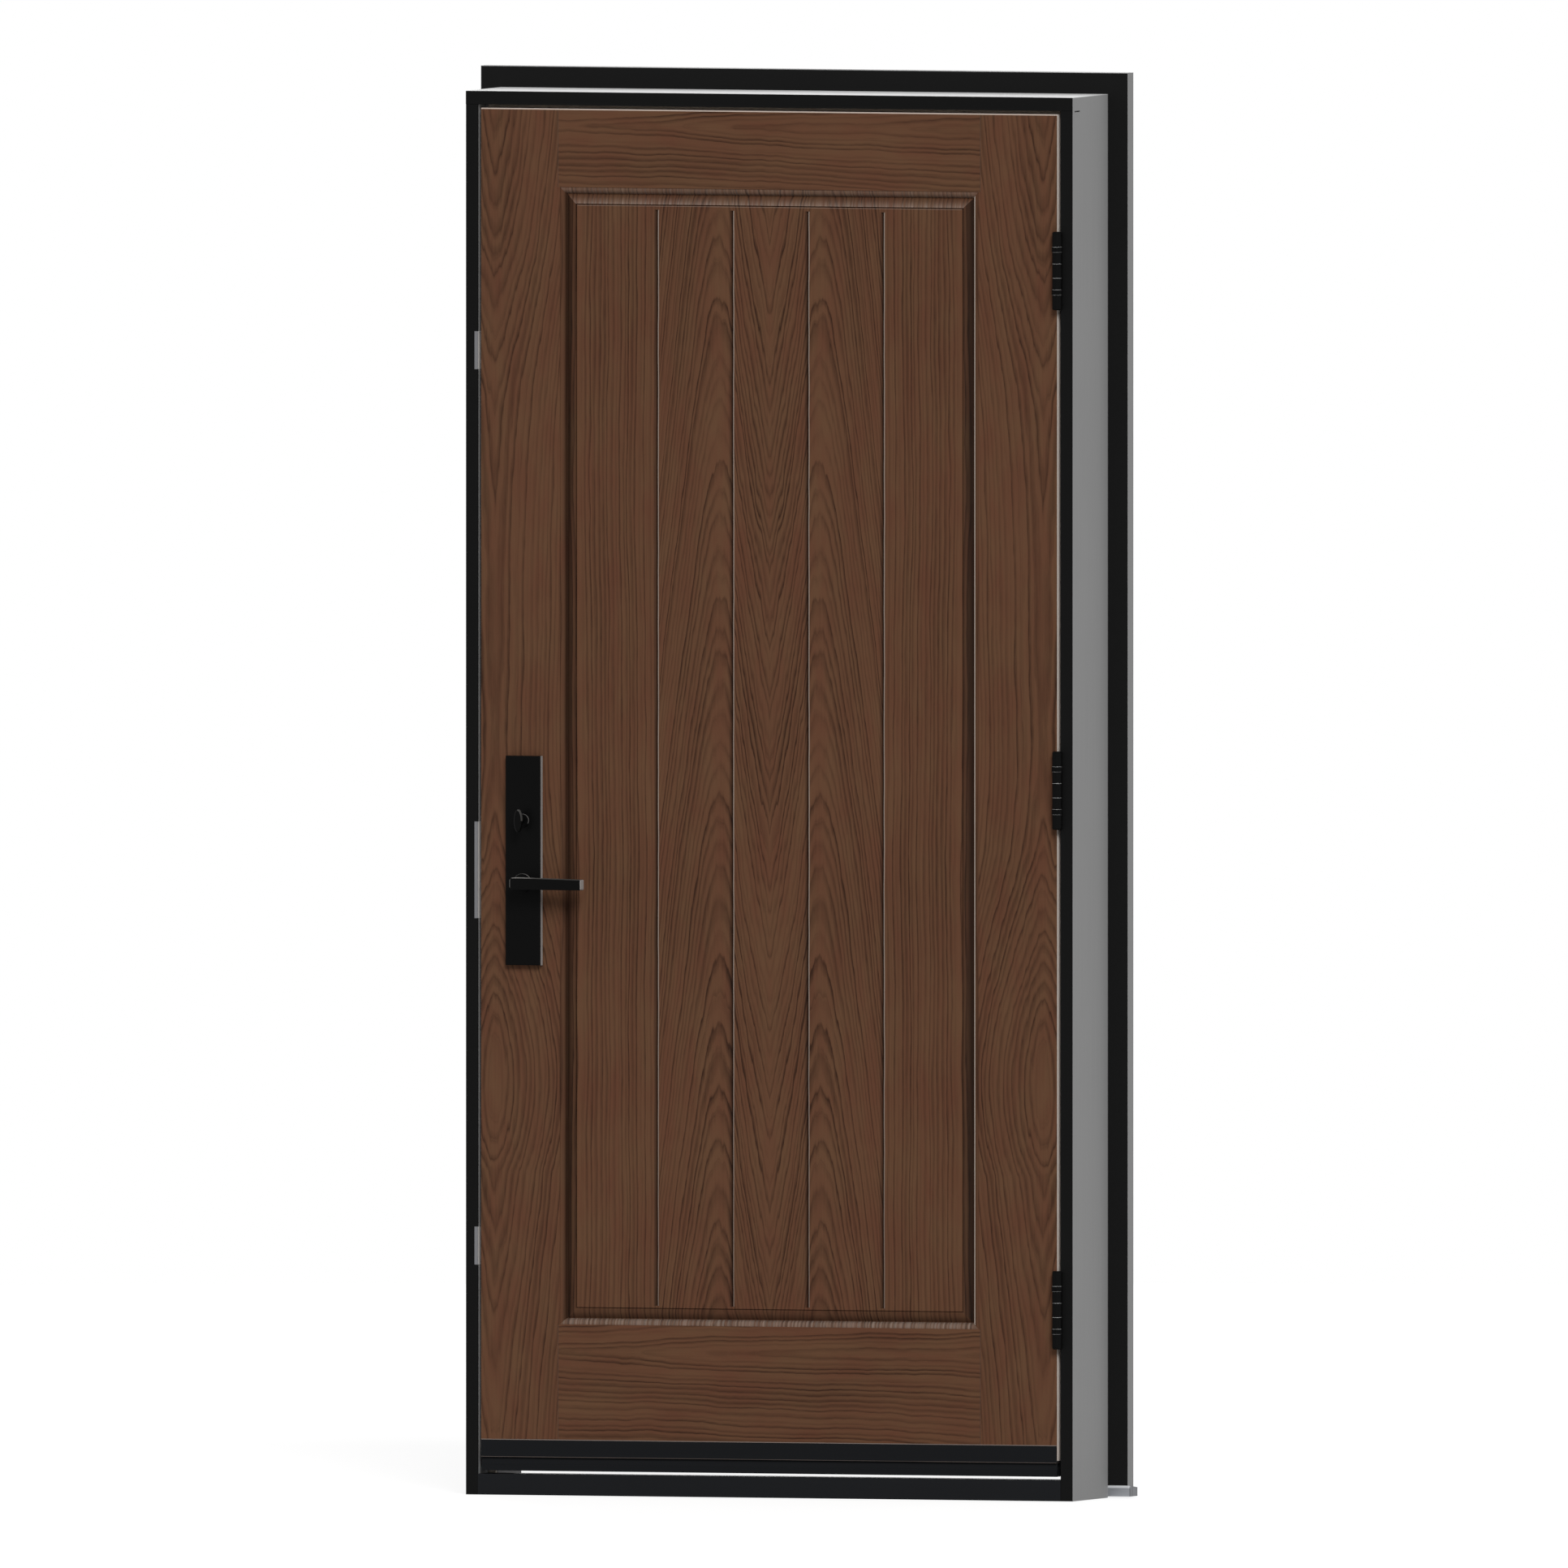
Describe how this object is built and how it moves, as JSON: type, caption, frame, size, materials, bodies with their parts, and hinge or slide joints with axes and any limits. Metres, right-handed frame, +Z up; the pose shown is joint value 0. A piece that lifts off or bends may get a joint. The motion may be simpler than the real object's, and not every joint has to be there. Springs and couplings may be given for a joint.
{
  "type": "fiberglass entrance door",
  "caption": "Pre-hung inswing fiberglass entrance door: planked wood-grain slab in a rabbeted frame with outdoor casing, sill, butt hinges, strikes and a lever lock with thumbturn.",
  "frame": {"origin": "middle of the sill's underside: halfway across the frame, halfway through the jambs, on the floor", "axes": "+X to the right as seen from indoors, towards the hinges; +Y towards the outdoors; +Z up"},
  "size_m": [1.0226, 0.2462, 2.1237],
  "materials": {
    "primed_jamb": "grey primer with black painted indoor edges",
    "black_casing": "black paint, primed outer edge",
    "weatherstrip": "matt",
    "sill_composite": "black, matt",
    "sill_metal": "mill",
    "bright_steel": "brushed",
    "black_hinge": "black, satin",
    "wood_grain_skin": "embossed wood grain, stained brown",
    "slab_edge": "bare composite edge",
    "foam": "foam",
    "sweep_vinyl": "black vinyl",
    "black_lock": "black, satin"
  },
  "bodies": {
    "frame": {"hinge_jamb": "primed_jamb", "strike_jamb": "primed_jamb", "head_jamb": "primed_jamb", "hinge_side_weatherstrip": "weatherstrip", "strike_side_weatherstrip": "weatherstrip", "head_weatherstrip": "weatherstrip", "hinge_side_casing": "black_casing", "strike_side_casing": "black_casing", "head_casing": "black_casing", "sill_base": "sill_composite", "sill_cap": "sill_composite", "sill_deck": "sill_metal", "top_strike": "bright_steel", "main_strike": "bright_steel", "bottom_strike": "bright_steel", "top_hinge_jamb_leaf": "black_hinge", "middle_hinge_jamb_leaf": "black_hinge", "bottom_hinge_jamb_leaf": "black_hinge", "top_hinge_pin": "black_hinge", "middle_hinge_pin": "black_hinge", "bottom_hinge_pin": "black_hinge"},
    "door": {"inside_skin": "wood_grain_skin", "outside_skin": "wood_grain_skin", "lock_stile": "slab_edge", "hinge_stile": "slab_edge", "top_rail": "slab_edge", "bottom_rail": "slab_edge", "foam_core": "foam", "door_sweep": "sweep_vinyl", "lock_faceplate": "bright_steel", "latch_bolt": "bright_steel", "deadbolt": "bright_steel", "top_tongue": "bright_steel", "bottom_tongue": "bright_steel", "inside_escutcheon": "black_lock", "outside_escutcheon": "black_lock", "key_cylinder": "black_lock", "top_hinge_door_leaf": "black_hinge", "middle_hinge_door_leaf": "black_hinge", "bottom_hinge_door_leaf": "black_hinge"},
    "lever": {"inside_lever": "black_lock", "outside_lever": "black_lock", "lever_spindle": "bright_steel"},
    "thumbturn": {"thumbturn": "black_lock"}
  },
  "joints": [
    {"name": "door_swing", "type": "hinge", "parent": "frame", "child": "door", "pos_m": [0.45465, -0.09235, 0], "axis": [0, 0, 1], "range_deg": [0, 110]},
    {"name": "lever_turn", "type": "hinge", "parent": "door", "child": "lever", "pos_m": [-0.38305, -0.0611, 0.9126], "axis": [0, 1, 0], "range_deg": [0, 45], "stiffness_Nm_per_rad": 1.5, "springref_deg": -22.92},
    {"name": "thumbturn_turn", "type": "hinge", "parent": "door", "child": "thumbturn", "pos_m": [-0.38305, -0.0611, 1.006], "axis": [0, 1, 0], "range_deg": [0, 90]}
  ]
}
